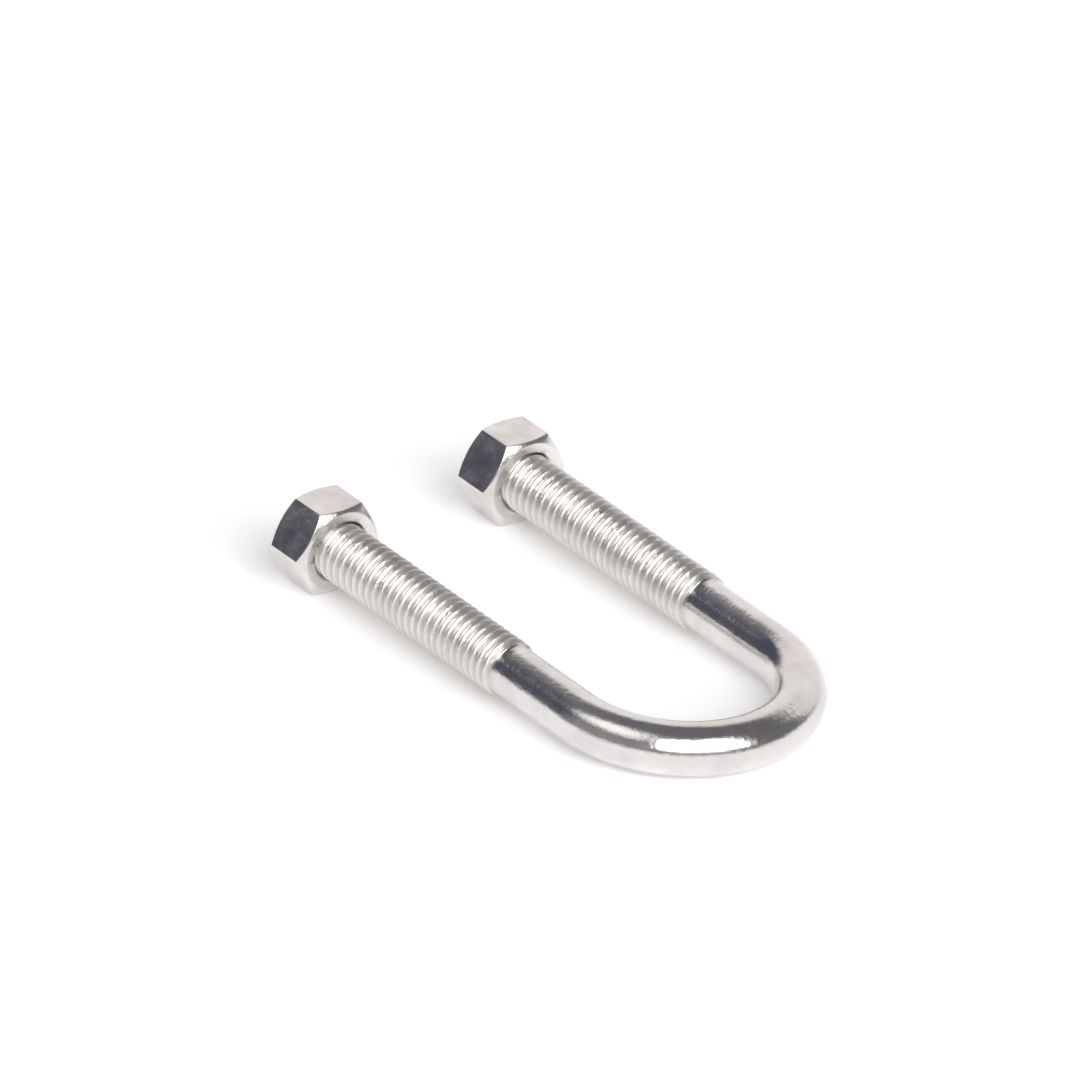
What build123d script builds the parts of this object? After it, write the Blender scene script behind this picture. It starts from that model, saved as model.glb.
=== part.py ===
from build123d import *
import os
from math import atan, cos, degrees, radians, tan

# U-bolt, 3/8-16 UNC, with its two plain hex nuts. Millimetres, full size.
# Origin: centre of the bend, where the axis of a clamped pipe would run along Z.
# The bend is toward +X, the two legs run along -X, and +Z is square to the plane of the U.

# rod
thread_d = 9.525                # 3/8 in, over the crests
pitch = 25.4 / 16
shank_d = 8.5                   # plain rod: the blank that threads of this size are rolled on
leg_spacing = 38.1              # 1 1/2 in between the leg axes
leg_end = 66.7                  # bend centre to the rod's ends
thread_len = 50.0               # full thread, measured from the rod's end
runout_turns = 1.2              # the groove would fade out over this, past the full thread
step_len = 0.8                  # where the last crests taper down to the plain rod
tip_chamfer = 0.9
groove_depth = 0.92
groove_lip = 0.12               # how far the V bar that cuts the groove stands past the crests
crest_flat = pitch / 8
helix_turn = 37                 # degrees round each leg at which every helix starts

# nuts
across_flats = 14.29            # 9/16 in
nut_height = 7.94               # 5/16 in
face_d = 13.3                   # flat ring left by the 30 degree corner chamfers
nut_bore_d = 7.96
countersink_d = 10.4
thread_gap = 0.1                # running gap between the mating flanks
bar_inside = 0.18               # how far the nut's V bar reaches inside its bore
blank_r = 0.65 * across_flats   # turning profile of the nut, past the hexagon's corners
sink_inside = 0.5               # how far the countersinks' profile reaches inside the bore
left_face = 57.6                # bend centre to each nut's bearing face
right_face = 59.0

thread_r = thread_d / 2
shank_r = shank_d / 2
bore_r = nut_bore_d / 2
half_spacing = leg_spacing / 2
thread_start = leg_end - thread_len
runout_len = runout_turns * pitch
neck_len = 1.5                  # plain rod made with each leg, so that the groove ends inside it
fade_past = 0.05                # how far past the crests the groove bar has faded at its end
shank_end = thread_start - step_len - neck_len
taper = step_len / (thread_r - shank_r)
slope = tan(radians(30))        # half of the 60 degree thread angle
rod_turns = 33                  # whole turns of the rod's helix, from past its end to the run-out
helix_start = thread_start + rod_turns * pitch
nut_lead = 1.5                  # solid block kept past both ends of the nut's helix
nut_turns = 10
nut_run_in = 3.9                # block's bottom to where its thread is whole all round


def leg_place(side, x):
    """A leg's axis at distance x from the bend centre, with local Z toward the bend."""
    return Plane(origin=(-x, side * half_spacing, 0), x_dir=(0, 0, 1), z_dir=(1, 0, 0)).location


def groove_bar(turns, inner_r, outer_r, inner_half, outer_half, fade=0.0):
    """A right-handed V bar wound up from z = 0, which ends by running out past its crest."""
    with BuildPart() as bar:
        with BuildLine() as path:
            Helix(pitch, turns * pitch, inner_r)
            if fade:
                Helix(pitch, runout_len, inner_r, center=(0, 0, turns * pitch),
                      cone_angle=degrees(atan(fade / runout_len)))
        with BuildSketch(Plane.XZ):
            with BuildLine():
                Polyline((inner_r, -inner_half), (outer_r, -outer_half),
                         (outer_r, outer_half), (inner_r, inner_half), close=True)
            make_face()
        sweep(path=path.wire(), is_frenet=True, transition=Transition.TRANSFORMED)
    return bar.part


def rod_leg():
    """One leg, built up +Z toward the bend from where its helix starts, past the rod's end."""
    tip = helix_start - leg_end
    neck = tip + thread_len
    joined = neck + step_len + neck_len
    root_r = thread_r - groove_depth
    lip_r = thread_r + groove_lip
    crest_half = (pitch - crest_flat) / 2
    over = 2.0
    groove = groove_bar(rod_turns, root_r, lip_r, crest_half - groove_depth * slope,
                        crest_half + groove_lip * slope, fade=lip_r - root_r + fade_past)
    with BuildPart() as leg:
        with Locations((0, 0, -over)):
            Cylinder(thread_r, over + joined + over,
                     align=(Align.CENTER, Align.CENTER, Align.MIN))
        with Locations(Location((0, 0, 0), (0, 0, helix_turn))):
            add(groove, mode=Mode.SUBTRACT)
        with BuildSketch(Plane.XZ):
            with BuildLine():
                Polyline((0, -2 * over), (thread_r + over, -2 * over),
                         (thread_r + over, tip + tip_chamfer + over),
                         (thread_r - tip_chamfer, tip), (0, tip), close=True)
            make_face()
            with BuildLine():
                Polyline((thread_r + over, neck - over * taper), (shank_r, neck + step_len),
                         (shank_r, joined), (0, joined), (0, joined + 2 * over),
                         (thread_r + over, joined + 2 * over), close=True)
            make_face()
        revolve(axis=Axis.Z, mode=Mode.SUBTRACT)
    return leg.part


def bent_rod():
    """The plain part: a semicircle and two straights."""
    with BuildPart() as rod:
        with BuildLine() as centre_line:
            Line((-shank_end, -half_spacing), (0, -half_spacing))
            ThreePointArc((0, -half_spacing), (half_spacing, 0), (0, half_spacing))
            Line((0, half_spacing), (-shank_end, half_spacing))
        with BuildSketch(Plane(leg_place(-1, shank_end))):
            Circle(shank_r)
        sweep(path=centre_line.wire())
    return rod.part


def nut_thread(height):
    """A block with the inside thread through it: the rod's ridge, thread_gap bigger all round."""
    ridge_half = crest_flat / 2 + thread_gap / cos(radians(30))
    inner_r = bore_r - bar_inside
    outer_r = thread_r + thread_gap
    groove = groove_bar(nut_turns, inner_r, outer_r, ridge_half + (thread_r - inner_r) * slope,
                        ridge_half - thread_gap * slope)
    with BuildPart() as block:
        Cylinder(across_flats, height, align=(Align.CENTER, Align.CENTER, Align.MIN))
        Cylinder(bore_r, height, align=(Align.CENTER, Align.CENTER, Align.MIN),
                 mode=Mode.SUBTRACT)
        with Locations(Location((0, 0, nut_lead), (0, 0, helix_turn))):
            add(groove, mode=Mode.SUBTRACT)
    return block.part


def nut_blank():
    """The hexagon with its corners chamfered and both ends of the bore countersunk."""
    drop = (blank_r - face_d / 2) * slope
    sink_r = countersink_d / 2
    sink = sink_r - bore_r + sink_inside
    with BuildPart() as blank:
        with BuildSketch():
            RegularPolygon(across_flats / 2, 6, major_radius=False, rotation=30)
        extrude(amount=nut_height)
        with BuildSketch(Plane.XZ):
            with BuildLine():
                Polyline((sink_r, 0), (face_d / 2, 0), (blank_r, drop), (blank_r, nut_height - drop),
                         (face_d / 2, nut_height), (sink_r, nut_height),
                         (sink_r - sink, nut_height - sink), (sink_r - sink, sink), close=True)
            make_face()
        revolve(axis=Axis.Z, mode=Mode.INTERSECT)
    return blank.part


def hex_nut(side, face):
    """A nut with its bearing face that far from the bend centre, in mesh with its leg."""
    outer = face + nut_height
    ahead = helix_start - outer + nut_lead      # from the nut back to a block on the rod's helix
    whole = int((ahead - nut_run_in) / pitch - 0.5)
    down = ahead - (whole + 0.5) * pitch        # half a pitch more, to mesh between the grooves
    block = nut_thread(2 * nut_lead + nut_turns * pitch)
    blank = nut_blank()
    with BuildPart() as nut:
        with Locations(leg_place(side, outer + down)):
            add(block)
        with Locations(leg_place(side, outer)):
            add(blank, mode=Mode.INTERSECT)
    return nut.part


os.makedirs("parts", exist_ok=True)

plain_rod = bent_rod()
leg = rod_leg()
with BuildPart() as u_bolt:
    add(plain_rod)
    with Locations([leg_place(side, helix_start) for side in (-1, 1)]):
        add(leg)
u_bolt.part.label = "u_bolt"
export_step(u_bolt.part, "parts/u_bolt.step")

near_nut = hex_nut(-1, left_face)
with BuildPart() as left_nut:
    add(near_nut)
left_nut.part.label = "left_nut"
export_step(left_nut.part, "parts/left_nut.step")

far_nut = hex_nut(1, right_face)
with BuildPart() as right_nut:
    add(far_nut)
right_nut.part.label = "right_nut"
export_step(right_nut.part, "parts/right_nut.step")
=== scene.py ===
from math import atan2, cos, degrees, hypot, pi, radians, sin, sqrt, tan

import bmesh
import bpy
from mathutils import Matrix, Vector


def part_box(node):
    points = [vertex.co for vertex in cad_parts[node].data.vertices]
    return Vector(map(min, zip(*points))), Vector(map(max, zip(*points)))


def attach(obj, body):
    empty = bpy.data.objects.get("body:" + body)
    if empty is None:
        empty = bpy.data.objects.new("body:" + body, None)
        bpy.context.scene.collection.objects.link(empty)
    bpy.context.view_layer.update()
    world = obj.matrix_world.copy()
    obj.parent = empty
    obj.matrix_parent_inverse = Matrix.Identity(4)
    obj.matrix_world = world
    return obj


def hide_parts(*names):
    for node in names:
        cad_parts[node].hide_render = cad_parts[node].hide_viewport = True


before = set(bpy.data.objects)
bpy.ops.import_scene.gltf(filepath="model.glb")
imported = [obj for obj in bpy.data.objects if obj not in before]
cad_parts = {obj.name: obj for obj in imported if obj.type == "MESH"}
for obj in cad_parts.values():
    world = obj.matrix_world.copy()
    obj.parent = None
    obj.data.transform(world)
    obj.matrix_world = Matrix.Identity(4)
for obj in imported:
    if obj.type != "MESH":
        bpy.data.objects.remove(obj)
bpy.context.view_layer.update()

# U-bolt with two hex nuts. Metres, in the frame of the CAD model: the bend is toward +X
# about the origin, the legs run along -X at y = +-LEG_Y, and +Z is square to the U.

MM = 0.001
ROD_LOW, ROD_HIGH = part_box("u_bolt")
THREAD_R = ROD_HIGH.z
LEG_Y = ROD_HIGH.y - THREAD_R
LEG_END = -ROD_LOW.x
SHANK_R = ROD_HIGH.x - LEG_Y
PITCH = 25.4 * MM / 16
THREAD_START = LEG_END - 50.0 * MM      # from the bend centre to where the full thread ends
STEP = 0.8 * MM                         # where the last crests taper down to the plain rod
RUNOUT = 1.2 * PITCH
HELIX_START = THREAD_START + 33 * PITCH     # where the CAD's helix starts, past the rod's end
HELIX_ANGLE = 37.0 / 360                    # in turns, as in the CAD
WELD = 0.002 * MM                           # points nearer than this are one

# rolled thread: a V groove with its corners rounded off
GROOVE_DEPTH = 0.92 * MM
TIP_CHAMFER = GROOVE_DEPTH      # down to the groove's root, so that the rod's end closes all round
GROOVE_HALF = (PITCH - PITCH / 8) / 2
ROOT_HALF = GROOVE_HALF - GROOVE_DEPTH * tan(radians(30))
ROUNDING = 0.28 * MM            # length that the corners are averaged over
RUNOUT_RISE = 1.14 * MM         # how far the groove climbs along its run-out

# nuts
FLATS_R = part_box("left_nut")[1].z
NUT_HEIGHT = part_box("left_nut")[1].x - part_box("left_nut")[0].x
FACE_R = 13.3 * MM / 2
SINK_R = 10.4 * MM / 2
BORE_R = 7.96 * MM / 2
NUT_ROOT_R = THREAD_R + 0.1 * MM
NUT_CREST = 1.25                # above 1, it leaves a wider flat on the nut's crests
CORNER_ROUND = 0.35 * MM
EDGE_ROUND = 0.16 * MM
TURNED_WIDTH = 0.22 * MM        # between the tool marks on a nut's end faces

ROUND_STEPS = 84                # points round the rod
TURN_STEPS = 16                 # points along one pitch
SHANK_STEPS = 12                # rings along each straight of plain rod
BEND_STEPS = 120                # rings round the bend
AVERAGED = 9                    # samples for each rounded point of the groove


# ---------------------------------------------------------------- mesh helpers

def new_piece(name, points, faces, body, replaced):
    """A smooth-shaded mesh object that rides on a body and stands for a CAD node."""
    mesh = bpy.data.meshes.new(name)
    mesh.from_pydata([tuple(p) for p in points], [], faces)
    work = bmesh.new()
    work.from_mesh(mesh)
    bmesh.ops.remove_doubles(work, verts=work.verts, dist=WELD)
    bmesh.ops.dissolve_degenerate(work, edges=work.edges, dist=WELD / 2)
    bmesh.ops.recalc_face_normals(work, faces=work.faces)
    work.to_mesh(mesh)
    work.free()
    mesh.shade_smooth()
    piece = bpy.data.objects.new(name, mesh)
    bpy.context.scene.collection.objects.link(piece)
    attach(piece, body)
    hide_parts(replaced)
    return piece


class Patchwork:
    """Points and faces gathered from several grids, welded when the piece is made."""

    def __init__(self):
        self.points, self.faces = [], []

    def grid(self, rows, jump=0):
        """Rows of points round a closed ring. A row's last point joins the first point of
        the row that is jump rows on, which is a turn of the helix on a thread."""
        count, width = len(rows), len(rows[0])
        base = len(self.points)
        for row in rows:
            self.points.extend(row)
        for a in range(count - 1):
            for j in range(width):
                k, lift = (j + 1) % width, jump if j == width - 1 else 0
                if a + lift + 1 < count:
                    at = base + a * width
                    up = base + (a + lift) * width
                    self.faces.append((at + j, up + k, up + width + k, at + width + j))

    def cap(self, centre, ring):
        """A fan from a centre point to a ring."""
        base = len(self.points)
        self.points.append(centre)
        self.points.extend(ring)
        for j in range(len(ring)):
            self.faces.append((base, base + 1 + j, base + 1 + (j + 1) % len(ring)))


def leg_point(side, distance, angle, radius):
    """On a leg, that far from the bend centre, turned from +Z as the CAD's threads are."""
    return (-distance, side * LEG_Y - radius * sin(angle), radius * cos(angle))


# ---------------------------------------------------------------- threads

def sharp_groove(offset):
    """Depth of the V groove at an offset along the axis from its centre line, as a share."""
    across = abs((offset + 0.5 * PITCH) % PITCH - 0.5 * PITCH)
    return min(1.0, max(0.0, (GROOVE_HALF - across) / (GROOVE_HALF - ROOT_HALF)))


def round_groove(offset):
    """The same, with its corners rounded by averaging along the axis."""
    reach = [ROUNDING * (i / (AVERAGED - 1) - 0.5) for i in range(AVERAGED)]
    return sum(sharp_groove(offset + r) for r in reach) / AVERAGED


GROOVE_TABLE = [round_groove(PITCH * i / TURN_STEPS) for i in range(TURN_STEPS)]


def thread_rows(start, length, angles, radius_at):
    """Rows that climb with the helix from start (toward the bend), flattened at both ends.

    A row has one groove depth all round, except where it is held at an end, so crests come
    out as clean lines."""
    rows = []
    total = int(length / PITCH * TURN_STEPS) + 2 * TURN_STEPS + 1
    first = start // PITCH * PITCH
    for a in range(total):
        level = first + (a - TURN_STEPS) * PITCH / TURN_STEPS
        row = []
        for angle in angles:
            climb = PITCH * (angle / (2 * pi) - HELIX_ANGLE)
            held = min(max(level + climb, start), start + length)
            if held == level + climb:
                share = GROOVE_TABLE[a % TURN_STEPS]
            else:
                share = round_groove(held - climb)
            row.append((held, angle, radius_at(held, share)))
        rows.append(row)
    return rows


def ease(k):
    """0 to 1 with a soft start and end."""
    k = min(1.0, max(0.0, k))
    return k * k * (3 - 2 * k)


def rod_radius(along, share):
    """Radius of the threaded rod; along is measured from the helix start toward the bend."""
    from_end = along - (HELIX_START - LEG_END)
    past_thread = along - (HELIX_START - THREAD_START)
    depth = GROOVE_DEPTH * share - RUNOUT_RISE * max(0.0, past_thread / RUNOUT)
    chamfer = THREAD_R - TIP_CHAMFER + from_end
    taper = ease(past_thread / STEP)
    crest = THREAD_R + (SHANK_R - THREAD_R) * taper
    return min(THREAD_R - depth, crest, chamfer)


def build_leg(work, side, angles):
    """A leg's thread, its flat end and its straight of plain rod."""
    start = HELIX_START - LEG_END
    length = LEG_END - THREAD_START + STEP
    rows = thread_rows(start, length, angles, rod_radius)
    work.grid([[leg_point(side, HELIX_START - z, t, r) for z, t, r in row] for row in rows],
              TURN_STEPS)
    tip_r = THREAD_R - TIP_CHAMFER
    shares = (1.0, 0.97, 0.5)           # two rings close together keep the end's edge crisp
    rings = [[leg_point(side, LEG_END, t, tip_r * k) for t in angles] for k in shares]
    work.grid(rings)
    work.cap(leg_point(side, LEG_END, 0, 0), rings[-1])
    shank_end = THREAD_START - STEP
    places = [shank_end * (1 - k / SHANK_STEPS) for k in range(SHANK_STEPS + 1)]
    work.grid([[leg_point(side, place, t, SHANK_R) for t in angles] for place in places])


def build_bend(work, angles):
    """The half circle between the legs."""
    rings = []
    for i in range(BEND_STEPS + 1):
        around = -pi / 2 + pi * i / BEND_STEPS
        ring = []
        for t in angles:
            reach = LEG_Y + SHANK_R * sin(t)
            ring.append((reach * cos(around), reach * sin(around), SHANK_R * cos(t)))
        rings.append(ring)
    work.grid(rings)


def build_rod():
    """The bent and threaded rod as one closed mesh."""
    angles = [2 * pi * j / ROUND_STEPS for j in range(ROUND_STEPS)]
    work = Patchwork()
    for side in (-1, 1):
        build_leg(work, side, angles)
    build_bend(work, angles)
    return new_piece("rod_plated", work.points, work.faces, "rod", "u_bolt")


# ---------------------------------------------------------------- nuts

def hex_angles():
    """Angles round a nut, close together at its six corners. 0 is the middle of a flat."""
    half_side = [0, 6, 12, 17, 21.5, 25, 27.3, 28.4, 28.9, 29.3, 29.65]
    one = [-a for a in reversed(half_side[1:])] + half_side + [30]
    return [radians(60 * side + a) for side in range(6) for a in one]


def hex_radius(angle):
    """Distance from the axis to the hexagon with rounded corners, at an angle from a flat."""
    off = (degrees(angle) + 30) % 60 - 30
    corner = radians(30 - abs(off))
    centre = (FLATS_R - CORNER_ROUND) / cos(radians(30))
    inside = CORNER_ROUND ** 2 - (centre * sin(corner)) ** 2
    straight = FLATS_R / cos(radians(off))
    touch = atan2(CORNER_ROUND * sin(radians(30)), centre + CORNER_ROUND * cos(radians(30)))
    if inside > 0 and corner < touch:
        return min(straight, centre * cos(corner) + sqrt(inside))
    return straight


def fillet(points, radius, steps=4):
    """An open (r, z) outline with each inner corner rounded by at most that radius."""
    out = [points[0]]
    for before, at, after in zip(points, points[1:], points[2:]):
        a = Vector(before) - Vector(at)
        b = Vector(after) - Vector(at)
        cut = min(radius, 0.45 * a.length, 0.45 * b.length)
        p, q = Vector(at) + a.normalized() * cut, Vector(at) + b.normalized() * cut
        for i in range(steps + 1):
            k = i / steps
            out.append(tuple((1 - k) ** 2 * p + 2 * k * (1 - k) * Vector(at) + k * k * q))
    return out + [points[-1]]


def nut_outline(angle):
    """The nut's outside at an angle from a flat, from one countersink to the other."""
    wide = hex_radius(angle)
    drop = (wide - FACE_R) * tan(radians(30))
    return fillet([(SINK_R, 0.0), (FACE_R, 0.0), (wide, drop), (wide, NUT_HEIGHT - drop),
                   (FACE_R, NUT_HEIGHT), (SINK_R, NUT_HEIGHT)], EDGE_ROUND)


def build_nut(name, side, node):
    """A nut that replaces the CAD node and rides on the body of the same name."""
    outer = -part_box(node)[0].x          # bend centre to the nut's outer end
    angles = hex_angles()
    columns = [nut_outline(t) for t in angles]
    work = Patchwork()
    work.grid([[leg_point(side, outer - up, t, r) for t, (r, up) in zip(angles, level)]
               for level in zip(*columns)])

    start = HELIX_START - outer         # along the helix's own axis

    def bore_radius(along, share):
        up = along - start
        wall = BORE_R + (NUT_ROOT_R - BORE_R) * (1 - min(1.0, share * NUT_CREST))
        sink = SINK_R - min(up, NUT_HEIGHT - up)
        return max(wall, sink)

    rows = thread_rows(start, NUT_HEIGHT, angles, bore_radius)
    work.grid([[leg_point(side, HELIX_START - z, t, r) for z, t, r in row] for row in rows],
              TURN_STEPS)
    return new_piece(name, work.points, work.faces, node, node)


# ---------------------------------------------------------------- materials

STAIN = (0.62, 0.55, 0.45)


def node_maker(name):
    """A new material, its node tree and shader, and a function that adds a node to it."""
    material = bpy.data.materials.new(name)
    material.use_nodes = True
    tree = material.node_tree
    shader = tree.nodes["Principled BSDF"]

    def add(kind, inputs=None, **settings):
        node = tree.nodes.new(kind)
        for key, value in settings.items():
            setattr(node, key, value)
        for key, value in (inputs or {}).items():
            if isinstance(value, bpy.types.NodeSocket):
                tree.links.new(value, node.inputs[key])
            else:
                node.inputs[key].default_value = value
        return node

    return material, tree, shader, add


def noise(add, where, scale, detail=2.0, roughness=0.5):
    """Cloudy noise from 0 to 1; a higher scale makes it finer."""
    settings = {"Vector": where, "Scale": scale, "Detail": detail, "Roughness": roughness}
    return add("ShaderNodeTexNoise", settings).outputs["Fac"]


def remap(add, value, low, high, to_low=0.0, to_high=1.0):
    """A value stretched from low..high to to_low..to_high, held at both ends."""
    settings = {"Value": value, "From Min": low, "From Max": high,
                "To Min": to_low, "To Max": to_high}
    return add("ShaderNodeMapRange", settings).outputs["Result"]


def blend_colour(add, share, under, over):
    """From the under colour at share 0 to the over colour at 1."""
    mix = add("ShaderNodeMix", {"Factor": share}, data_type="RGBA")
    for name, colour in (("A", under), ("B", over)):
        if isinstance(colour, bpy.types.NodeSocket):
            mix.id_data.links.new(colour, mix.inputs[name])
        else:
            mix.inputs[name].default_value = (*colour, 1)
    return mix.outputs["Result"]


def multiply(add, a, b):
    return add("ShaderNodeMath", {0: a, 1: b}, operation="MULTIPLY").outputs[0]


def zinc_plate(name, bright, dull, smooth, rough, painted_shade, ripple=0.25, orange_peel=0.3,
               stained=0.0, turning=0.0):
    """Bright zinc plating on steel: grey metal with faint clouds, ripples, pits and tint.

    Where the mesh says "groove", painted shade darkens the colour. Where it says
    "turned", concentric tool marks show."""
    material, tree, shader, add = node_maker(name)
    shader.inputs["Metallic"].default_value = 1.0
    where = add("ShaderNodeTexCoord").outputs["Object"]
    clouds = noise(add, where, 150.0, 5.0, 0.6)
    grain = noise(add, where, 1300.0, 4.0, 0.65)
    tone = blend_colour(add, remap(add, clouds, 0.35, 0.65), dull, bright)
    # Painted shade: the colour is darkened where the groove attribute marks a recess, varied by
    # the clouds.
    groove = add("ShaderNodeAttribute", attribute_name="groove").outputs["Fac"]
    groove_shaded = blend_colour(add, multiply(add, groove, remap(add, clouds, 0.3, 0.7, 0.45, 1.0)),
                          tone, painted_shade)
    if stained:
        spots = remap(add, noise(add, where, 75.0, 4.0, 0.65), 0.58, 0.72, 0.0, stained)
        groove_shaded = blend_colour(add, spots, groove_shaded, STAIN)
    tree.links.new(groove_shaded, shader.inputs["Base Color"])
    haze = remap(add, noise(add, where, 260.0, 6.0, 0.7), 0.35, 0.68, smooth, rough)
    tree.links.new(haze, shader.inputs["Roughness"])

    def bump(height, strength, distance, under=None):
        inputs = {"Height": height, "Strength": strength, "Distance": distance}
        if under:
            inputs["Normal"] = under
        return add("ShaderNodeBump", inputs).outputs["Normal"]

    surface = bump(noise(add, where, 240.0, 1.0), ripple, 0.1 * MM)
    surface = bump(grain, orange_peel, 0.12 * MM, surface)
    if turning:
        turns = add("ShaderNodeAttribute", attribute_name="turned").outputs["Fac"]
        phase = multiply(add, turns, 2 * pi)
        marks = add("ShaderNodeMath", {0: phase}, operation="SINE").outputs[0]
        surface = bump(marks, turning, 0.01 * MM, surface)
    pits = add("ShaderNodeTexVoronoi", {"Vector": where, "Scale": 420.0}).outputs["Distance"]
    surface = bump(remap(add, pits, 0.02, 0.09), 0.35, 0.02 * MM, surface)
    tree.links.new(surface, shader.inputs["Normal"])
    return material


# ---------------------------------------------------------------- object

rod = build_rod()
left = build_nut("left_nut_plated", -1, "left_nut")
right = build_nut("right_nut_plated", 1, "right_nut")

# The fifth colour of each finish is painted shade for the thread's grooves and the nuts' bores.
plain = zinc_plate("plain_rod_zinc", (0.79, 0.77, 0.76), (0.68, 0.66, 0.65), 0.10, 0.2,
                   (0.5, 0.48, 0.45), orange_peel=0.4, stained=0.5)
rolled = zinc_plate("thread_zinc", (0.84, 0.82, 0.80), (0.71, 0.69, 0.665), 0.26, 0.42,
                    (0.61, 0.575, 0.53), ripple=0.4, orange_peel=0.8)
flats = zinc_plate("nut_flat_zinc", (0.82, 0.79, 0.78), (0.68, 0.65, 0.64), 0.13, 0.3,
                   (0.4, 0.38, 0.34), ripple=0.16, orange_peel=0.3)
turned = zinc_plate("nut_face_zinc", (0.86, 0.86, 0.83), (0.76, 0.76, 0.72), 0.26, 0.4,
                    (0.4, 0.38, 0.34), orange_peel=0.3, turning=0.5)


def give(piece, finishes, pick):
    """Materials by face: pick says which one a face centre gets."""
    for finish in finishes:
        piece.data.materials.append(finish)
    for face in piece.data.polygons:
        face.material_index = pick(face.center)


def point_values(piece, name, value_at):
    """A number at each point of the mesh, for the materials."""
    layer = piece.data.attributes.new(name, "FLOAT", "POINT")
    layer.data.foreach_set("value", [value_at(v.co) for v in piece.data.vertices])


def leg_radius(point):
    """Distance from the axis of the nearer leg."""
    return hypot(abs(point.y) - LEG_Y, point.z)


def rod_groove(point):
    """How deep in the rod's thread a point lies, 0 to 1; it sets where shade is painted in the
    grooves.
    """
    unshaded_tip = 0.5 * MM
    if point.x > -(THREAD_START - STEP) or point.x < -LEG_END + unshaded_tip:
        return 0.0
    deep = (THREAD_R - leg_radius(point)) / GROOVE_DEPTH
    return min(1.0, max(0.0, deep)) ** 0.8


def nut_groove(point):
    """1 inside a nut's bore, up to a little inside the countersink's edge; it sets where shade is
    painted in the bore.
    """
    unshaded_edge = 0.3 * MM
    return 1.0 if leg_radius(point) < SINK_R - unshaded_edge else 0.0


def tool_marks(point):
    """How many tool marks a point lies out from the leg's axis."""
    return leg_radius(point) / TURNED_WIDTH


def finish_nut(nut, node):
    """Plated flats, turned ends and chamfers, and shading that keeps the flats flat."""
    low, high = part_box(node)
    margin = 0.02 * MM

    def on_end(centre):
        turned_part = leg_radius(centre) < FACE_R + 0.05 * MM
        return int(turned_part or not low.x + margin < centre.x < high.x - margin)

    # painted shade inside the bore
    point_values(nut, "groove", nut_groove)
    point_values(nut, "turned", tool_marks)
    give(nut, (flats, turned), on_end)
    nut.modifiers.new("flat_faces", "WEIGHTED_NORMAL").keep_sharp = True


# painted shade in the thread's grooves
point_values(rod, "groove", rod_groove)
give(rod, (plain, rolled), lambda centre: int(centre.x < -(THREAD_START - 0.6 * STEP)))
finish_nut(left, "left_nut")
finish_nut(right, "right_nut")

# ---------------------------------------------------------------- stage

# The part lies on its nuts' lower flats and the underside of the bend, tipped 2.2 degrees.
FLOOR_HALF = 4.0
FLOOR_GAP = 0.02 * MM
nut_low, nut_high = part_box("left_nut")
rest_x, rest_z = nut_high.x, nut_low.z
bend_x, bend_z = ROD_HIGH.x - SHANK_R, -SHANK_R
floor_tilt = atan2(bend_z - rest_z, bend_x - rest_x)
floor_mesh = bpy.data.meshes.new("floor")
floor_mesh.from_pydata([(x * FLOOR_HALF, y * FLOOR_HALF, 0)
                        for x, y in ((-1, -1), (1, -1), (1, 1), (-1, 1))], [], [(0, 1, 2, 3)])
floor = bpy.data.objects.new("floor", floor_mesh)
bpy.context.scene.collection.objects.link(floor)
floor.matrix_world = (Matrix.Translation((rest_x, 0, rest_z - FLOOR_GAP))
                      @ Matrix.Rotation(-floor_tilt, 4, "Y"))
paper, _, paper_shader, _ = node_maker("floor_paper")
paper_shader.inputs["Base Color"].default_value = (0.97, 0.965, 0.965, 1)
paper_shader.inputs["Emission Color"].default_value = (1.0, 0.99, 0.985, 1)
paper_shader.inputs["Emission Strength"].default_value = 0.19
paper_shader.inputs["Roughness"].default_value = 0.9
paper_shader.inputs["Specular IOR Level"].default_value = 0.1
floor_mesh.materials.append(paper)


def direction(azimuth, elevation):
    """Unit vector toward a place round the object: azimuth 0 is -Y and 90 is +X."""
    a, e = radians(azimuth), radians(elevation)
    return Vector((sin(a) * cos(e), -cos(a) * cos(e), sin(e)))


# Azimuth from, to, elevation from, to, softness, all in degrees; tone. Later ones lie over
# earlier ones.
STUDIO = [
    (None, (0.17, 0.17, 0.185)),                            # the dim room
    ((-200, 200, -100, 2, 5), (0.98, 0.96, 0.95)),          # below the table's edge
    ((-200, -88, -20, 44, 5), (0.96, 0.93, 0.91)),          # backdrop, behind on one side
    ((164, 200, 6, 38, 8), (0.9, 0.88, 0.86)),              # backdrop, on the other
    ((-86, -34, 3, 46, 5), (0.083, 0.088, 0.118)),          # unlit corner
    ((-34, 38, 2, 32, 8), (0.3, 0.29, 0.29)),
    ((-46, 24, 41, 72, 13), (1.35, 1.32, 1.3)),             # soft box, left
    ((42, 108, 18, 62, 7), (4.6, 4.6, 4.6)),                # soft box, right
]


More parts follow.
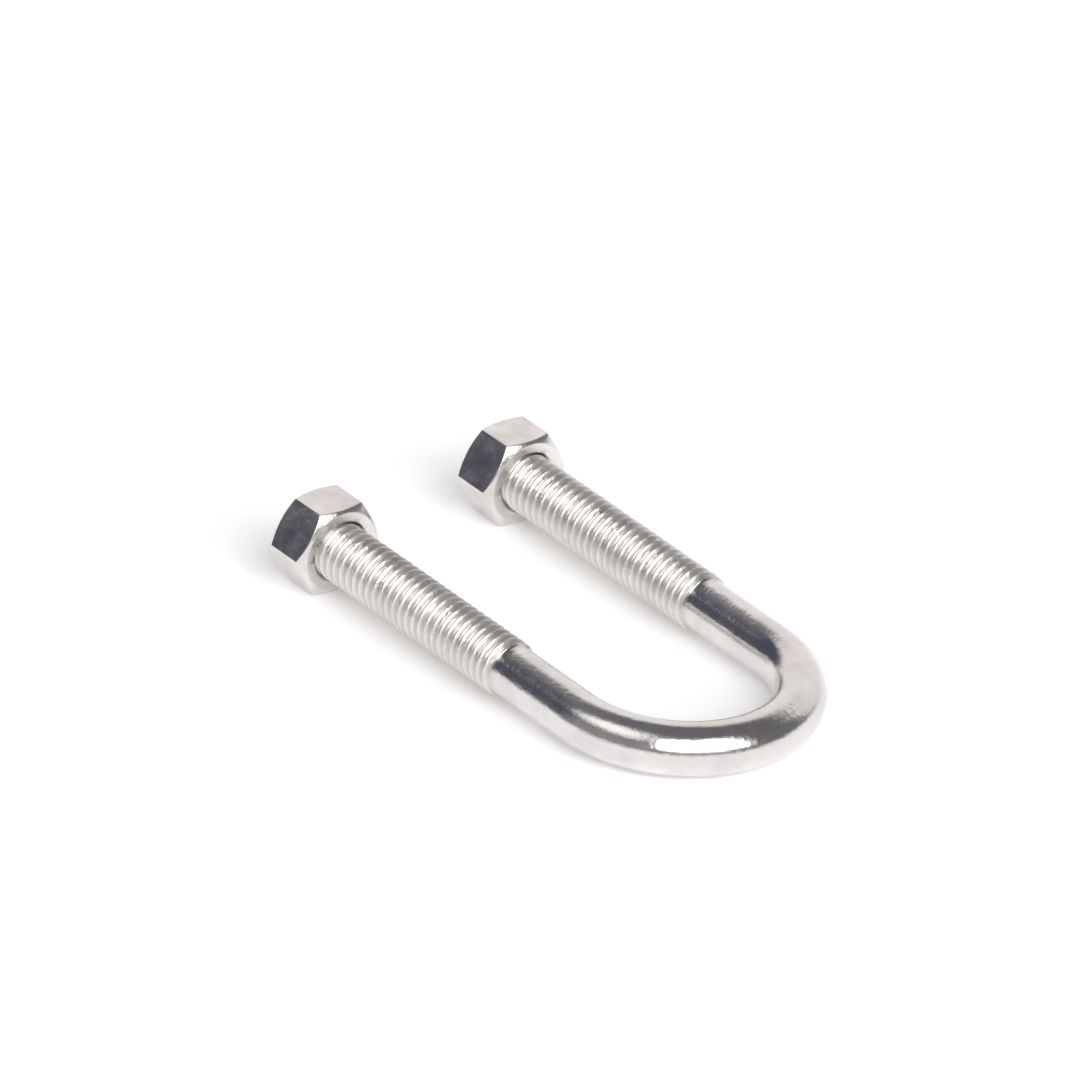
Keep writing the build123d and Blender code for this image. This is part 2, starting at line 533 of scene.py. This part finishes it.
def studio_world():
    """A plain studio seen only in reflections: pale cloth behind and below, a dim room above
    and beside it, and soft boxes up on the camera's side."""
    world = bpy.data.worlds.new("studio")
    bpy.context.scene.world = world
    world.use_nodes = True
    tree = world.node_tree

    def figure(kind, a, b, clamp=False):
        node = tree.nodes.new("ShaderNodeMath")
        node.operation, node.use_clamp = kind, clamp
        for socket, value in zip(node.inputs, (a, b)):
            if isinstance(value, bpy.types.NodeSocket):
                tree.links.new(value, socket)
            else:
                socket.default_value = value
        return node.outputs[0]

    toward = tree.nodes.new("ShaderNodeTexCoord").outputs["Generated"]
    split = tree.nodes.new("ShaderNodeSeparateXYZ")
    tree.links.new(toward, split.inputs[0])
    x, y, z = split.outputs
    elevation = figure("ARCSINE", z, 0)
    azimuth = figure("ARCTAN2", x, figure("MULTIPLY", y, -1.0))

    def edge(value, at, soft):
        """1 where the value is past an angle in degrees, softened over some degrees."""
        wide = 1 / radians(soft)
        return figure("ADD", figure("MULTIPLY", figure("SUBTRACT", value, radians(at)), wide),
                      0.5, clamp=True)

    def patch(az0, az1, el0, el1, soft):
        """1 inside a rectangle of azimuth and elevation."""
        across = figure("MULTIPLY", edge(azimuth, az0, soft),
                        figure("SUBTRACT", 1.0, edge(azimuth, az1, soft)))
        above = figure("MULTIPLY", edge(elevation, el0, soft),
                       figure("SUBTRACT", 1.0, edge(elevation, el1, soft)))
        return figure("MULTIPLY", across, above)

    colour = None
    for shape, tone in STUDIO:
        mix = tree.nodes.new("ShaderNodeMix")
        mix.data_type = "RGBA"
        mix.inputs["B"].default_value = (*tone, 1)
        if colour is None:
            mix.inputs["A"].default_value = (*tone, 1)
            mix.inputs["Factor"].default_value = 1.0
        else:
            tree.links.new(colour, mix.inputs["A"])
            tree.links.new(patch(*shape), mix.inputs["Factor"])
        colour = mix.outputs["Result"]
    tree.links.new(colour, tree.nodes["Background"].inputs["Color"])
    tree.nodes["Background"].inputs["Strength"].default_value = 1.0


studio_world()
bpy.context.scene.view_settings.view_transform = "Standard"

# ---------------------------------------------------------------- camera

SENSOR = 36.0
IMAGE = 1086            # the image's width, which the focal length is first given in
CAMERA = {"azimuth": 48.0, "elevation": 30.2, "roll": 5.5, "distance": 3.0,
          "focal": 19740.0 * SENSOR / IMAGE, "right": -20.05 * MM, "up": 21.4 * MM}


def place_camera():
    """A long lens aimed along its azimuth and elevation, moved sideways by right and up."""
    data = bpy.data.cameras.new("camera")
    camera = bpy.data.objects.new("camera", data)
    bpy.context.scene.collection.objects.link(camera)
    bpy.context.scene.camera = camera
    back = direction(CAMERA["azimuth"], CAMERA["elevation"])
    level = direction(CAMERA["azimuth"] + 90, 0)
    upright = back.cross(level)
    roll = radians(CAMERA["roll"])
    right = cos(roll) * level + sin(roll) * upright
    up = cos(roll) * upright - sin(roll) * level
    turn = Matrix((right, up, back)).transposed().to_4x4()
    turn.translation = (back * CAMERA["distance"] + right * CAMERA["right"]
                        + up * CAMERA["up"])
    camera.matrix_world = turn
    data.sensor_width = SENSOR
    data.lens = CAMERA["focal"]
    data.clip_start, data.clip_end = 0.1, 30


place_camera()
